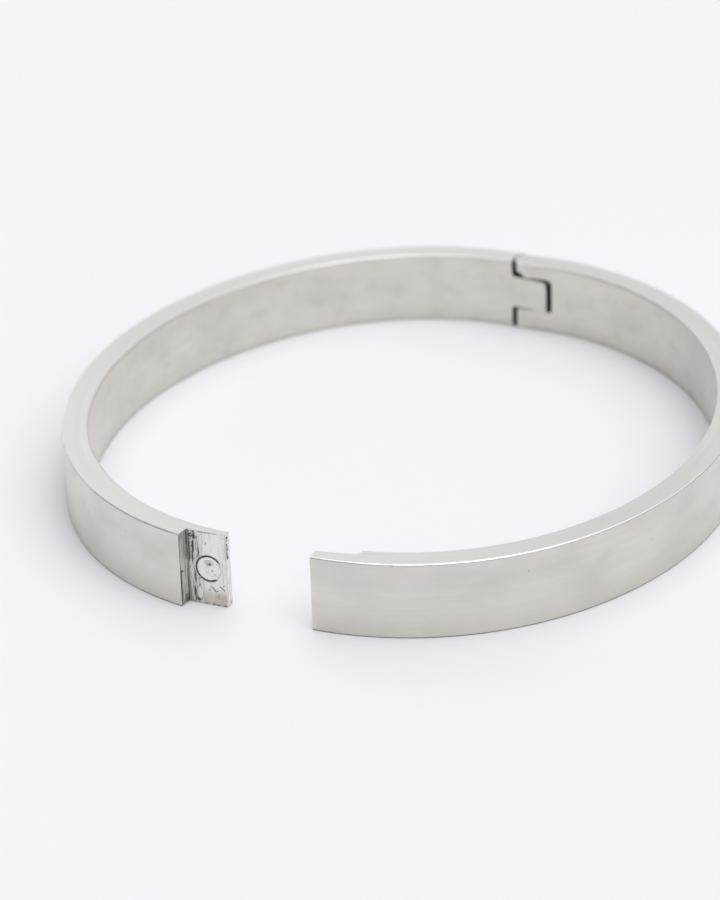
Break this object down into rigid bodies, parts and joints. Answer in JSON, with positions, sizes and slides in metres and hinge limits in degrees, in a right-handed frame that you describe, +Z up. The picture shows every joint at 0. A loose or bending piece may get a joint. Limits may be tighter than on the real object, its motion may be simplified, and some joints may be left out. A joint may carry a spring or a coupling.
{
  "type": "bangle bracelet",
  "caption": "Hinged oval bangle of flat brushed steel bar with a magnetic lap clasp, resting on its edge and slightly open.",
  "frame": {"origin": "centre of the bangle's outline at rest, on the plane it stands on", "axes": "+Z up along the bar's width, +Y towards the hinge, -Y towards the clasp, +X towards the half with the outer lap"},
  "size_m": [0.0624, 0.0684, 0.007],
  "materials": {
    "brushed_steel": "satin, brushed round the band",
    "pin_steel": "turned and faced flush",
    "magnet": "nickel plated, lightly worn",
    "adhesive": "clear set epoxy"
  },
  "bodies": {
    "left": {"left_half": "brushed_steel", "tongue_magnet": "magnet", "tongue_adhesive": "adhesive"},
    "right": {"right_half": "brushed_steel", "hinge_pin": "pin_steel", "lap_magnet": "magnet", "lap_adhesive": "adhesive"}
  },
  "joints": [
    {"name": "hinge", "type": "hinge", "parent": "left", "child": "right", "pos_m": [-0.00018, 0.03275, 0.0035], "axis": [0, 0, 1], "range_deg": [-10.5, 70]}
  ]
}
